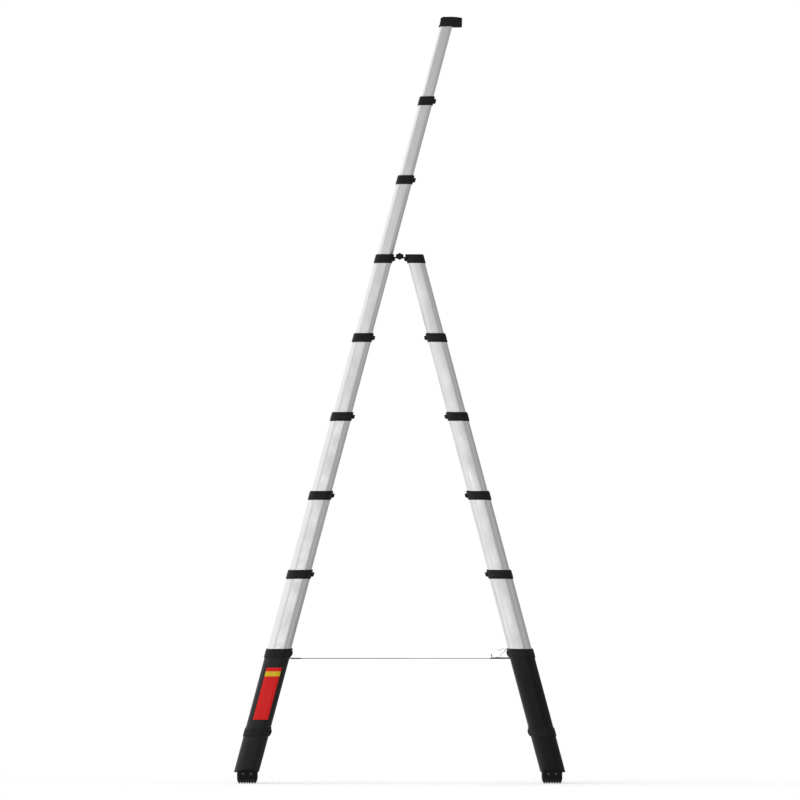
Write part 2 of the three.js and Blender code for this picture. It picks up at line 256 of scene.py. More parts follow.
# ---- Materials ----
class Nodes:
    """Short ways to add to a node tree."""

    def __init__(self, tree):
        self.tree = tree

    def fill(self, node, inputs):
        """Sets a node's inputs. A socket among the values is linked."""
        for key, value in inputs.items():
            if isinstance(value, bpy.types.NodeSocket):
                self.tree.links.new(value, node.inputs[key])
            else:
                node.inputs[key].default_value = value
        return node

    def node(self, kind, inputs=(), **settings):
        made = self.tree.nodes.new(kind)
        for key, value in settings.items():
            setattr(made, key, value)
        return self.fill(made, dict(inputs))

    def maths(self, operation, a, b):
        return self.node("ShaderNodeMath", {0: a, 1: b}, operation=operation).outputs[0]

    def span(self, value, low, high, start=0.3, end=0.7):
        """A value moved from start..end to low..high, and held there."""
        inputs = {"Value": value, "From Min": start, "From Max": end, "To Min": low, "To Max": high}
        return self.node("ShaderNodeMapRange", inputs).outputs["Result"]

    def place(self, stretch=(1, 1, 1), turn=0.0):
        """The object's own coordinates, turned about Y and then scaled."""
        own = self.node("ShaderNodeTexCoord").outputs["Object"]
        turned = self.node("ShaderNodeMapping", {"Vector": own, "Rotation": (0, turn, 0)})
        sized = self.node("ShaderNodeMapping", {"Vector": turned.outputs["Vector"], "Scale": stretch})
        return sized.outputs["Vector"]

    def noise(self, scale, detail=3.0, rough=0.6, stretch=(1, 1, 1), turn=0.0):
        place = self.place(stretch, turn)
        inputs = {"Vector": place, "Scale": scale, "Detail": detail, "Roughness": rough}
        return self.node("ShaderNodeTexNoise", inputs).outputs["Fac"]


class Finish(Nodes):
    """A procedural material round one Principled shader."""

    def __init__(self, name, colour, roughness, metallic=0.0, specular=0.5):
        self.material = bpy.data.materials.new(name)
        self.material.use_nodes = True
        super().__init__(self.material.node_tree)
        self.shader = self.tree.nodes["Principled BSDF"]
        self.colour = (*colour, 1)
        self.fill(self.shader, {"Base Color": self.colour, "Roughness": roughness, "Metallic": metallic,
                                "Specular IOR Level": specular})
        self.bump_above = None

    def tint(self, value, other, high, start=0.3, end=0.7, low=0.0):
        """Mixes the base colour towards another by low..high, where a value goes from start to end."""
        now = self.shader.inputs["Base Color"]
        before = now.links[0].from_socket if now.links else self.colour
        share = self.span(value, low, high, start, end)
        mix = self.node("ShaderNodeMix", {"Factor": share, 6: before, 7: (*other, 1)}, data_type="RGBA")
        self.tree.links.new(mix.outputs[2], now)

    def rough(self, *spans):
        """The roughness is the sum of one or more spans."""
        total = self.span(*spans[0])
        for each in spans[1:]:
            total = self.maths("ADD", total, self.span(*each))
        self.fill(self.shader, {"Roughness": total})

    def bump(self, height, distance, strength=1.0):
        inputs = {"Height": height, "Distance": distance, "Strength": strength}
        if self.bump_above:
            inputs["Normal"] = self.bump_above
        self.bump_above = self.node("ShaderNodeBump", inputs).outputs["Normal"]
        self.fill(self.shader, {"Normal": self.bump_above})


def scaled(colour, share):
    return tuple(share * c for c in colour)


def aluminium(name, colour, lines, turn=0.0, metallic=0.9, roughness=0.36):
    """Anodised, with fine drawn lines. lines is the scale of the noise along each axis."""
    made = Finish(name, colour, roughness, metallic)
    drawn = made.noise(1.0, 2.0, stretch=lines, turn=turn)
    broad = made.noise(14.0, 4.0)
    scuffs = made.noise(1.0, 6.0, 0.75, scaled(lines, 0.35), turn)
    made.tint(broad, scaled(colour, 0.72), 0.16)
    made.tint(scuffs, scaled(colour, 0.5), 0.30, 0.62, 0.74)
    made.rough((broad, roughness - 0.04, roughness + 0.05), (drawn, -0.03, 0.04),
               (scuffs, 0.0, 0.14, 0.62, 0.74))
    made.bump(drawn, 0.02 * MM, 0.6)
    return made.material


def moulding(name, colour, roughness=0.5, grain=900.0, worn=(0.09, 0.09, 0.092), specular=0.30):
    """Moulded nylon with a fine eroded grain and dull, paler scuffs."""
    made = Finish(name, colour, roughness, specular=specular)
    fine = made.noise(grain, 2.0)
    broad = made.noise(38.0, 5.0, 0.7)
    made.tint(broad, scaled(colour, 1.7), 0.45, 0.45, 0.75)
    made.tint(made.noise(150.0, 6.0, 0.8), worn, 0.35, 0.66, 0.80)
    made.rough((broad, roughness - 0.06, roughness + 0.10), (fine, -0.03, 0.05))
    made.bump(fine, 0.05 * MM, 0.5)
    return made.material


def powder_coat(name, colour, turn, specular):
    """The base tubes' black coat: an orange-peel surface over drawn metal."""
    made = Finish(name, colour, 0.42, specular=specular)
    broad = made.noise(22.0, 5.0, 0.7, (1, 1, 0.3), turn)
    rubbed = made.noise(1.0, 6.0, 0.8, (260, 260, 6), turn)
    made.tint(broad, scaled(colour, 1.5), 0.5)
    made.tint(rubbed, (0.10, 0.10, 0.102), 0.25, 0.66, 0.78)
    made.rough((broad, 0.36, 0.50), (rubbed, 0.0, 0.1, 0.6, 0.75))
    made.bump(made.noise(620.0, 2.0), 0.06 * MM, 0.5)
    return made.material


def plated_steel(name, colour, roughness=0.28):
    """Bright zinc plating with a warm cloudiness and fine pits."""
    made = Finish(name, colour, roughness, 1.0)
    cloud = made.noise(90.0, 4.0)
    pits = made.noise(1400.0, 2.0)
    made.tint(cloud, (0.62, 0.56, 0.44), 0.5)
    made.rough((cloud, roughness - 0.06, roughness + 0.1), (pits, -0.02, 0.05))
    made.bump(pits, 0.03 * MM, 0.4)
    return made.material


def painted_steel(name, colour, roughness=0.4):
    """A lacquered coat with a few small chips."""
    made = Finish(name, colour, roughness)
    made.fill(made.shader, {"Coat Weight": 0.3, "Coat Roughness": 0.25})
    peel = made.noise(500.0, 2.0)
    made.tint(made.noise(260.0, 6.0, 0.8), (0.35, 0.34, 0.33), 0.8, 0.70, 0.78)
    made.rough((peel, roughness - 0.08, roughness + 0.08))
    made.bump(peel, 0.05 * MM, 0.5)
    return made.material


def rubber(name, colour):
    """Dull rubber with dust in patches."""
    made = Finish(name, colour, 0.85, specular=0.3)
    dust = made.noise(60.0, 6.0, 0.75)
    made.tint(dust, (0.07, 0.066, 0.06), 0.5, 0.5, 0.8)
    made.rough((dust, 0.76, 0.94))
    made.bump(made.noise(1100.0, 2.0), 0.12 * MM, 0.6)
    return made.material


def webbing(name, colour, shade):
    """Woven polyester: ribs along and across, each thread a little darker in its hollow by painted shade, and
    the fibres darker here and there.
    """
    made = Finish(name, colour, 0.8)
    made.fill(made.shader, {"Sheen Weight": 0.3})
    place = made.place()
    ribs = []
    for axis, scale in (("X", 190.0), ("Y", 250.0)):
        ribs.append(made.node("ShaderNodeTexWave", {"Vector": place, "Scale": scale}, wave_type="BANDS",
                              wave_profile="SIN", bands_direction=axis).outputs["Fac"])
    weave = made.maths("MULTIPLY", *ribs)
    fibre = made.noise(700.0, 3.0, stretch=(1, 6, 1))
    # Painted shade: the weave's hollows are mixed three quarters of the way to the shade colour.
    made.tint(weave, shade, 0.0, 0.0, 0.6, low=0.75)
    made.tint(fibre, shade, 0.3)
    made.rough((fibre, 0.7, 0.9))
    made.bump(weave, 0.25 * MM, 0.8)
    made.bump(fibre, 0.05 * MM, 0.4)
    return made.material


def printed_film(name, colour):
    """A plain sticker: satin film with faint wrinkles and scratches."""
    made = Finish(name, colour, 0.38, specular=0.25)
    wrinkles = made.noise(40.0, 3.0, stretch=(1, 1, 0.4), turn=-LEAN)
    scratches = made.noise(1.0, 4.0, 0.8, (60, 60, 900), 0.6)
    made.tint(wrinkles, scaled(colour, 0.7), 0.25)
    made.tint(scratches, (0.6, 0.45, 0.42), 0.3, 0.66, 0.76)
    made.rough((wrinkles, 0.32, 0.46))
    made.bump(wrinkles, 0.08 * MM, 0.5)
    return made.material


SILVER = (0.79, 0.79, 0.795)
NYLON = (0.0045, 0.0045, 0.0047)
FRONT_SILVER = aluminium("front_anodised_tube", SILVER, (900, 900, 3), -LEAN)
REAR_SILVER = aluminium("rear_anodised_tube", SILVER, (900, 900, 3), LEAN)
RUNG_METAL = aluminium("rung_extrusion", SILVER, (900, 3, 900))
# The two base coats are lit and shaded copies of one black coat: the front copy is painted lighter and
# glossier as light, the rear copy darker and duller as shade.
FRONT_BLACK_LIT = powder_coat("front_base_coat", (0.004, 0.004, 0.0042), -LEAN, 0.36)
REAR_BLACK_SHADED = powder_coat("rear_base_coat", (0.0035, 0.0035, 0.0037), LEAN, 0.24)
COLLAR_NYLON = moulding("collar_nylon", NYLON)
LIP_NYLON = moulding("lip_nylon", (0.03, 0.03, 0.031), 0.42, 700.0)
KNOB_NYLON = moulding("knob_nylon", (0.0025, 0.0025, 0.0027), 0.5, 700.0, (0.03, 0.03, 0.031), 0.15)
BUTTON_NYLON = moulding("button_nylon", (0.075, 0.077, 0.08), 0.55, 1100.0, (0.16, 0.16, 0.16))
FOOT_NYLON = moulding("foot_shoe", (0.0025, 0.0025, 0.0027), 0.62, 900.0, (0.05, 0.05, 0.052), 0.2)
SOLE_RUBBER = rubber("sole_rubber", (0.011, 0.011, 0.011))
STEEL = plated_steel("plated_steel", (0.55, 0.55, 0.56))
SPRING_STEEL = plated_steel("spring_wire", (0.24, 0.24, 0.25), 0.4)
BLACK_STEEL = painted_steel("painted_steel", (0.014, 0.014, 0.015))
# The second colour of each strap weave is its painted shade in the hollows, and also its darker fibre tone.
GREY_WEBBING = webbing("strap_weave", (0.11, 0.11, 0.112), (0.04, 0.04, 0.042))
BLACK_WEBBING = webbing("strap_end_weave", (0.025, 0.025, 0.026), (0.008, 0.008, 0.008))
LABEL_RED = printed_film("label_field", (0.90, 0.010, 0.010))
LABEL_YELLOW = printed_film("label_band", (0.92, 0.62, 0.015))


# ---- The rails and levels, from the CAD model's boxes ----
class Rail:
    """One telescoping tube: its place and its section square to the rail."""

    def __init__(self, name, sign, side, stage):
        self.node = f"{name}_tube_{side}_{stage}"
        low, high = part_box(self.node)
        middle = (low + high) / 2
        self.sign, self.y = sign, middle.y
        self.low, self.high = low.z, high.z
        self.foot_x = middle.z * SLOPE - sign * middle.x
        self.half_width = (high.y - low.y) / 2
        self.half_depth = (high.x - low.x - (high.z - low.z) * SLOPE) / STRETCH / 2
        self.corner = self.half_depth - TUBE_FACE

    def at(self, u, y, z):
        """A point by its level distance from the rail's axis, its y from the middle, and its height."""
        return Vector((self.sign * (z * SLOPE + u - self.foot_x), self.y + y, z))

    def ring(self, grow, z, steps):
        """The tube's outline at a height, grown outwards."""
        corner = max(self.corner + grow, 0.5 * MM)
        outline = rounded_rectangle(self.half_depth + grow, self.half_width + grow, corner, steps)
        return [self.at(u * STRETCH, y, z) for u, y in outline]

    def rings(self, profile, steps=7):
        """The tube's outlines for a profile of (grow, height)."""
        return [self.ring(grow, z, steps) for grow, z in profile]

    def face(self, u, grow):
        """The side face's distance from the rail's middle plane, at a distance u square to the axis."""
        past = max(abs(u) - TUBE_FACE, 0.0)
        return self.half_width - self.corner + math.sqrt((self.corner + grow) ** 2 - past ** 2)


class Ladder:
    """One of the two ladders: its rails by side and stage, and the places of its levels."""

    def __init__(self, name, sign, stages):
        self.name, self.sign, self.stages = name, sign, stages
        self.rails = {(side, stage): Rail(name, sign, side, stage)
                      for side in SIDES for stage in range(1, stages + 1)}
        self.foot_x = self.rails["left", 1].foot_x
        first, third = (sum(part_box(f"{name}_step_{n}"), Vector()).z / 2 for n in (1, 3))
        self.first_z, self.rise = first, (third - first) / 2

    def rung_z(self, level):
        return self.first_z + level * self.rise

    def rail(self, side, level):
        """The tube that a level's collar is fixed to."""
        return self.rails[side, max(level, 1)]

    def body(self, level):
        return f"{self.name}_base" if level < 2 else f"{self.name}_stage_{level}"

    def step(self, level):
        return f"{self.name}_step_{level + 1}"

    def axis_x(self, z):
        """The x of the rails' axis at a height, times this ladder's sign."""
        return z * SLOPE - self.foot_x

    def square(self, level):
        """A function that places points: x away from the climber and rise, from the rung's middle, and y."""
        z = self.rung_z(level)
        middle = self.axis_x(z)

        def place(x, y, rise):
            return Vector((self.sign * (middle + x), y, z + rise))
        return place


FRONT = Ladder("front", 1, 9)
REAR = Ladder("rear", -1, 6)


# ---- Tubes ----
def tube_profile(rail, closed_in):
    """Grow and height round the tube's wall. The base tubes' lower rims are closed in a little."""
    edge = 0.4 * MM
    rim, steps = (3.6 * MM, 6) if closed_in else (edge, 1)
    outside = arc((-rim, rail.low + rim), rim, -90, 0, steps) + [(0, rail.high - edge), (-edge, rail.high)]
    inside = [(edge - TUBE_WALL, rail.high), (-TUBE_WALL, rail.high - edge)]
    inner_rim = rim - edge
    return outside + inside + arc((-TUBE_WALL - inner_rim, rail.low + rim), inner_rim, 0, -90, steps)


def make_tube(ladder, side, stage):
    rail = ladder.rails[side, stage]
    profile = tube_profile(rail, stage == 1)
    shape = Shape().loft(rail.rings(profile, 9), closed=True)
    silver, black = (FRONT_SILVER, FRONT_BLACK_LIT) if ladder is FRONT else (REAR_SILVER, REAR_BLACK_SHADED)
    name = f"{ladder.name}_{side}_tube_{stage}"
    material, slot = (black, "black_tube") if stage == 1 else (silver, "silver_tube")
    piece(name, shape, material, ladder.body(stage), slot, [rail.node])


# ---- Steps: a rung, and on each end a collar with a socket, a lug and small fittings ----
def rung_outline():
    """A rounded rectangle with narrow grooves along its tread and one along each side."""
    groove, pitch, count = 0.9 * MM, 3.1 * MM, 11
    points = rounded_rectangle(RUNG_HALF_DEPTH, RUNG_HALF_HEIGHT, RUNG_CORNER, 5)
    quarter = len(points) // 4
    tread = []
    for k in range(count):
        x = pitch * (count / 2 - k - 0.25)
        for along, depth in ((0, 0), (0.4 * MM, groove), (1.1 * MM, groove), (1.5 * MM, 0)):
            tread.append((x - along, RUNG_HALF_HEIGHT - depth))
    left = []
    for rise, depth in ((1.6 * MM, 0), (1 * MM, groove), (-1 * MM, groove), (-1.6 * MM, 0)):
        left.append((depth - RUNG_HALF_DEPTH, rise))
    right = [(-x, -rise) for x, rise in left]
    return points[:quarter] + tread + points[quarter:2 * quarter] + left + points[2 * quarter:] + right


def make_rung(ladder, level):
    rail = ladder.rail("left", level)
    end = rail.y - rail.half_width - FIT
    shape = Shape().across(ladder.square(level), rung_outline(), [(-end, 0), (end, 0)])
    piece(f"{ladder.name}_rung_{level + 1}", shape, RUNG_METAL, ladder.body(level), "silver_tube",
          [ladder.step(level)], 25)


def groove_round(reach, z):
    """A shallow groove round a moulding, as part of its profile."""
    deep, half_floor, half_mouth = reach - 0.5 * MM, 0.5 * MM, 0.7 * MM
    return [(reach, z - half_mouth), (deep, z - half_floor), (deep, z + half_floor), (reach, z + half_mouth)]


def collar_outside(z, half_height, top_round):
    """Grow and height up the collar's outer skin, from its lower rim to its rounded top."""
    low, high, edge = z - half_height, z + half_height, 0.8 * MM
    points = [(FIT, low), (COLLAR_WALL - edge, low), (COLLAR_WALL, low + edge)]
    points += groove_round(COLLAR_WALL, low + 4 * MM)
    points += groove_round(COLLAR_WALL, high - top_round - 3 * MM)
    centre = (COLLAR_WALL - top_round, high - top_round)
    return points + arc(centre, top_round, 0, 90, 5)


def collar_rings(rail, z, kind):
    """The collar's skin as rings, and whether it closes on itself."""
    if kind == "ring":
        profile = collar_outside(z, BASE_RING_HALF, 2.4 * MM) + [(FIT, z + BASE_RING_HALF - 0.3 * MM)]
        return rail.rings(profile), True
    top, bore_top = z + COLLAR_HALF, z + COLLAR_HALF - LIP_HEIGHT
    profile = collar_outside(z, COLLAR_HALF, 4 * MM)
    if kind == "closed":
        lid = [(-6 * MM, top), (-6.6 * MM, top - 0.8 * MM), (-14 * MM, top - 0.8 * MM)]
        profile = [(FIT, bore_top)] + profile + lid
        return rail.rings(profile), False
    edge = 0.6 * MM
    lip = [(edge - LIP_REACH, top), (-LIP_REACH, top - edge), (-LIP_REACH, bore_top), (FIT, bore_top)]
    return rail.rings(profile + lip), True


SOCKET_BANDS = [  # distance from the collar and inset, in millimetres
    (0, -0.5), (1, -0.5), (3, -0.2), (4.5, 0), (9, 0), (9.4, 0.5), (10.4, 0.5), (10.8, 0), (15.8, 0),
    (16.7, 0.4), (17, 1.2),
]


def add_socket(shape, ladder, level, side):
    """The part of the moulding that holds the rung's end, with a rounded rim and a thicker root."""
    rail = ladder.rail(side, level)
    wall = 1.7 * MM
    face = abs(rail.y) - rail.half_width - COLLAR_WALL + 0.5 * MM
    outline = rounded_rectangle(RUNG_HALF_DEPTH + wall, RUNG_HALF_HEIGHT + wall, RUNG_CORNER + wall, 5)
    stations = [(SIDES[side] * (face - along), depth) for along, depth in in_mm(SOCKET_BANDS)]
    shape.across(ladder.square(level), outline, stations)


def add_lug(shape, rail, z):
    """A block on the inner side of the collar, whose outer face keeps to the rail's slope."""
    half_width, low, high, soft = 10 * MM, -8.5 * MM, 6.2 * MM, 1.6 * MM
    face = rail.half_depth + COLLAR_WALL
    start = (face - 2 * MM) * STRETCH
    end = (face + LUG_REACH) * STRETCH
    rings = []
    for height, back in ((low, soft), (low + 0.5 * soft, 0.3 * soft), (low + soft, 0), (high - soft, 0),
                         (high - 0.5 * soft, 0.3 * soft), (high, soft)):
        half_u = (end - back - start) / 2
        outline = rounded_rectangle(half_u, half_width - 0.6 * back, 1.8 * MM, 4)
        rings.append([rail.at(start + half_u + u, y, z + height) for u, y in outline])
    shape.loft(rings)


def add_ear(shape, rail, z):
    """The rounded lobe on the two lowest levels."""
    reach, half_width, low, high, steps = 4 * MM, 13 * MM, -15 * MM, 9 * MM, 10
    face = rail.half_depth + COLLAR_WALL
    start = (face - 3 * MM) * STRETCH
    rings = []
    for k in range(steps + 1):
        share = k / steps
        swell = math.sqrt(max(1 - (2 * share - 1) ** 2, 0.0))
        end = max((face + reach * (2 * swell - 1)) * STRETCH, start + 1.5 * MM)
        half_u = (end - start) / 2
        outline = rounded_rectangle(half_u, half_width * (0.72 + 0.28 * swell), 0.7 * MM, 3)
        height = z + low + (high - low) * share
        rings.append([rail.at(start + half_u + u, y, height) for u, y in outline])
    shape.loft(rings)


def make_collar(ladder, level, side, kind):
    rail, z = ladder.rail(side, level), ladder.rung_z(level)
    rings, closed = collar_rings(rail, z, kind)
    shape = Shape().loft(rings, closed)
    add_socket(shape, ladder, level, side)
    if level < 2:
        add_ear(shape, rail, z)
    else:
        add_lug(shape, rail, z)
    name = f"{ladder.name}_{side}_collar_{level + 1}"
    piece(name, shape, COLLAR_NYLON, ladder.body(level), "step_moulding", [ladder.step(level)])


def make_guide(ladder, level, side):
    """The slightly glossier guide ring between a collar's lip and the tube that slides in it."""
    rail, z = ladder.rail(side, level), ladder.rung_z(level)
    low, high = z + COLLAR_HALF - 1 * MM, z + COLLAR_HALF + 0.5 * MM
    outer, inner, edge = 2.2 * MM - LIP_REACH, 0.1 * MM - LIP_REACH, 0.4 * MM
    profile = [(outer, low), (outer, high - edge), (outer - edge, high), (inner + 0.3 * MM, high),
               (inner, high - edge), (inner, low)]
    shape = Shape().loft(rail.rings(profile), closed=True)
    piece(f"{ladder.name}_{side}_guide_{level + 1}", shape, LIP_NYLON, ladder.body(level), "step_moulding")


def make_fittings(ladder, level, side):
    """The locking pin's head on the lug, and two screws under the socket."""
    rail, z = ladder.rail(side, level), ladder.rung_z(level)
    shape = Shape()
    if level >= 2:
        reach = (rail.half_depth + COLLAR_WALL + LUG_REACH) * STRETCH
        head = [(3.4, 0), (3.4, 0.3), (3.0, 0.6), (1.6, 0.75), (1.2, 0.4), (0.6, 0.4)]
        shape.stud(rail.at(reach - 0.3 * MM, 0, z - 1.1 * MM), (ladder.sign, 0, 0), head)
    place = ladder.square(level)
    y = rail.y - SIDES[side] * (rail.half_width + 12 * MM)
    screw = [(3.0, -0.6), (3.0, 0.1), (2.5, 0.35), (1.3, 0.45), (1.2, -0.2), (0.5, -0.2)]
    for x in (-11 * MM, 11 * MM):
        shape.stud(place(x, y, -RUNG_HALF_HEIGHT - 1.5 * MM), (0, 0, -1), screw, 14)
    piece(f"{ladder.name}_{side}_fittings_{level + 1}", shape, STEEL, ladder.body(level), "hinge_steel")


def make_step(ladder, level, kind):
    make_rung(ladder, level)
    for side in SIDES:
        make_collar(ladder, level, side, kind)
        make_fittings(ladder, level, side)
        if kind == "sliding":
            make_guide(ladder, level, side)


# ---- Top end caps ----
CAP_OUTLINE = [  # in millimetres, about the rail's axis at the top rung's middle
    (-32.3, -15.6), (-28, -17), (54, -17), (54, 14.6), (36, 17.4), (15, 18.9), (-16.5, 18.2),
    (-24.5, 13.5), (-25.8, 5.5), (-22.6, 3.6), (-28.4, -0.8), (-25.6, -4.6),
]


def make_cap(side):
    """A cap over a rail's top end, with two slots in each side."""
    level = FRONT.stages
    rail, place = FRONT.rail(side, level), FRONT.square(level)
    half_width = rail.half_width + COLLAR_WALL
    outline = filleted(in_mm(CAP_OUTLINE), 3.2 * MM, 4)
    shape = Shape().across(place, outline, rounded_ends(rail.y - half_width, rail.y + half_width, 1.1 * MM))
    add_socket(shape, FRONT, level, side)
    made = piece(f"front_{side}_end_cap", shape, COLLAR_NYLON, FRONT.body(level), "step_moulding",
                 [FRONT.step(level)])
    slots = Shape()
    for x, rise, half in ((30 * MM, 3.5 * MM, 11 * MM), (24 * MM, -5.5 * MM, 10 * MM)):
        slot = [(x + a, rise + b) for a, b in rounded_rectangle(half, 1.5 * MM, 1.4 * MM, 3)]
        for face in (-1, 1):
            y = rail.y + face * half_width
            slots.across(place, slot, [(y - 3 * MM, 0), (y + 3 * MM, 0)])
    carve(made, slots)


def carve(made, cutter):
    """Cuts a shape out of a piece's mesh."""
    knife = add_mesh("cutter", cutter)
    modifier = made.modifiers.new("carve", "BOOLEAN")
    modifier.operation, modifier.object, modifier.solver = "DIFFERENCE", knife, "EXACT"
    modifier.use_self = True
    bpy.context.view_layer.update()
    evaluated = made.evaluated_get(bpy.context.evaluated_depsgraph_get())
    cut = bpy.data.meshes.new_from_object(evaluated)
    made.modifiers.clear()
    made.data = cut
    cut.set_sharp_from_angle(angle=math.radians(32))
    bpy.data.objects.remove(knife)


# ---- Hinge: arms, axle, washers and star knobs ----
PIVOT = sum(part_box("hinge_axle"), Vector()) / 2
ARM_THICKNESS = 7.6 * MM
ARM_HALF_HEIGHT = 1.8 * MM
ARM_DROP = 4.1 * MM  # the bar's middle below the pivot
BOSS_RADIUS = 9 * MM
AXLE_RADIUS = 5 * MM
STAR_LOBES = 6
STAR_BREADTH = 0.45  # less than 1 makes the lobes broad and the hollows narrow
STAR_TIP = 13.7 * MM
STAR_HUB = 7.6 * MM
STAR_LONG, STAR_HIGH = 1.1, 0.88
STAR_SIDE_HOLLOW = 0.36  # the two side hollows' depth over that of the others


def arm_span(side, ladder):
    """The arm's two faces. The front arms are outside the rails' middle planes and the rear arms inside."""
    sign = SIDES[side]
    middle = abs(ladder.rails[side, 1].y)
    near = FIT if ladder is FRONT else -FIT - ARM_THICKNESS
    return sorted((sign * (middle + near), sign * (middle + near + ARM_THICKNESS)))


def make_arm(ladder, side):
    """A bar from the collar, and a boss round the axle."""
    low, high = arm_span(side, ladder)
    rail = ladder.rail(side, HINGE_LEVEL)
    z = PIVOT.z - ARM_DROP
    root = rail.at((rail.half_depth + COLLAR_WALL / 2) * STRETCH, 0, ladder.rung_z(HINGE_LEVEL)).x
    bar = rectangle(*sorted((root, PIVOT.x)), z - ARM_HALF_HEIGHT, z + ARM_HALF_HEIGHT)
    shape = Shape().across(as_placed, filleted(bar, 1 * MM, 2), rounded_ends(low, high, 0.8 * MM, 2))
    rim, bore = 0.9 * MM, AXLE_RADIUS + FIT
    profile = [(bore, low + rim), (bore + rim, low), (BOSS_RADIUS - rim, low), (BOSS_RADIUS, low + rim),
               (BOSS_RADIUS, high - rim), (BOSS_RADIUS - rim, high), (bore + rim, high), (bore, high - rim)]
    shape.turned(PIVOT.x, PIVOT.z, profile, 40, closed=True)
    piece(f"{ladder.name}_{side}_hinge_arm", shape, BLACK_STEEL, ladder.body(HINGE_LEVEL), "step_moulding",
          [ladder.step(HINGE_LEVEL)])


# In millimetres: the step in the axle's radius and the way from its end, and a washer's radius and thickness
AXLE_END = ((-0.8, 0), (0, 0.8), (0, 24), (-0.5, 24.4), (-0.5, 26), (0, 26.4))
WASHER = ((5.2, 0), (8.2, 0), (8.5, 0.3), (8.5, 1.5), (8.2, 1.8), (5.2, 1.8))


def make_axle():
    """A pin with a groove near each end, and two washers outside each pair of arms."""
    low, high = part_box("hinge_axle")
    near, far = ([(AXLE_RADIUS + step, y + inwards * along) for step, along in in_mm(AXLE_END)]
                 for y, inwards in ((low.y, 1), (high.y, -1)))
    shape = Shape().turned(PIVOT.x, PIVOT.z, near + far[::-1], 36)
    piece("hinge_pin", shape, STEEL, "front_stage_6", "hinge_steel", ["hinge_axle"])
    for side, sign in SIDES.items():
        outer = abs(FRONT.rails[side, 1].y) + FIT + ARM_THICKNESS
        washer = Shape()
        for start in (outer + 0.2 * MM, outer + 2.4 * MM):
            profile = [(radius, sign * (start + along)) for radius, along in in_mm(WASHER)]
            washer.turned(PIVOT.x, PIVOT.z, profile, 36, closed=True)
        piece(f"hinge_washers_{side}", washer, STEEL, "front_stage_6", "hinge_steel")


def star_ring(tip, hollow, y, points=120):
    """An oval star with broad lobes. hollow is the depth between them, shallower at the two sides. A ring as
    small as the hub is round."""
    share = min(max((tip - STAR_HUB) / (STAR_TIP - STAR_HUB), 0.0), 1.0)
    long, high = 1 + (STAR_LONG - 1) * share, 1 + (STAR_HIGH - 1) * share
    ring = []
    for k in range(points):
        angle = 2 * math.pi * k / points
        swell = (0.5 - 0.5 * math.cos(STAR_LOBES * angle)) ** STAR_BREADTH
        depth = hollow * (STAR_SIDE_HOLLOW + (1 - STAR_SIDE_HOLLOW) * abs(math.sin(angle)))
        radius = tip - depth * (1 - swell)
        across, up = long * radius * math.cos(angle), high * radius * math.sin(angle)
        ring.append(Vector((PIVOT.x + across, y, PIVOT.z + up)))
    return ring


STAR_PROFILE = [  # in millimetres: radius to the lobes' tips, depth of the hollows, way from the inner face
    (6.4, 0, 0.4), (7.6, 0, 0), (10.6, 2.6, 0.4), (12.7, 3.7, 1.2), (13.7, 4.0, 2.4), (13.7, 4.0, 10.4),
    (13.3, 3.9, 11.8), (12.3, 3.5, 12.9), (10.7, 2.7, 13.4), (9.1, 1.4, 13.0), (7.6, 0.3, 12.2),
    (6.8, 0, 12.2), (6.4, 0, 12.6), (6.2, 0, 13.4), (5.6, 0, 13.8), (4.6, 0, 13.8), (4.3, 0, 13.2),
]


def make_knob(side):
    """A six-lobed oval star with rounded rims, a dished face and a raised hub round its screw."""
    sign, body = SIDES[side], f"hinge_knob_{side}"
    low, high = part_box(body)
    inner = min(abs(low.y), abs(high.y))
    shape = Shape().loft([star_ring(tip * MM, hollow * MM, sign * (inner + along * MM))
                          for tip, hollow, along in STAR_PROFILE])
    piece(f"star_knob_{side}", shape, KNOB_NYLON, body, "knob_plastic", [body])
    screw = Shape()
    head = [(4.1, 12.8), (4.1, 13.2), (3.7, 13.6), (2.5, 13.7), (2.3, 12.9), (1.2, 12.7)]
    screw.stud((PIVOT.x, sign * inner, PIVOT.z), (0, sign, 0), head, 24)
    piece(f"star_knob_screw_{side}", screw, BLACK_STEEL, body, "hinge_steel")


# ---- Release buttons ----
PAD_BANDS = (  # depth from the pad's face, inset at the sides, further inset at the ends, in millimetres
    (7, 0.8, 0), (6.6, 0.2, 0), (5.8, 0, 0), (2.6, 0, 0), (1.4, 0.5, 0.4), (0.7, 1.6, 0.9), (0.9, 4.0, 3.0),
)


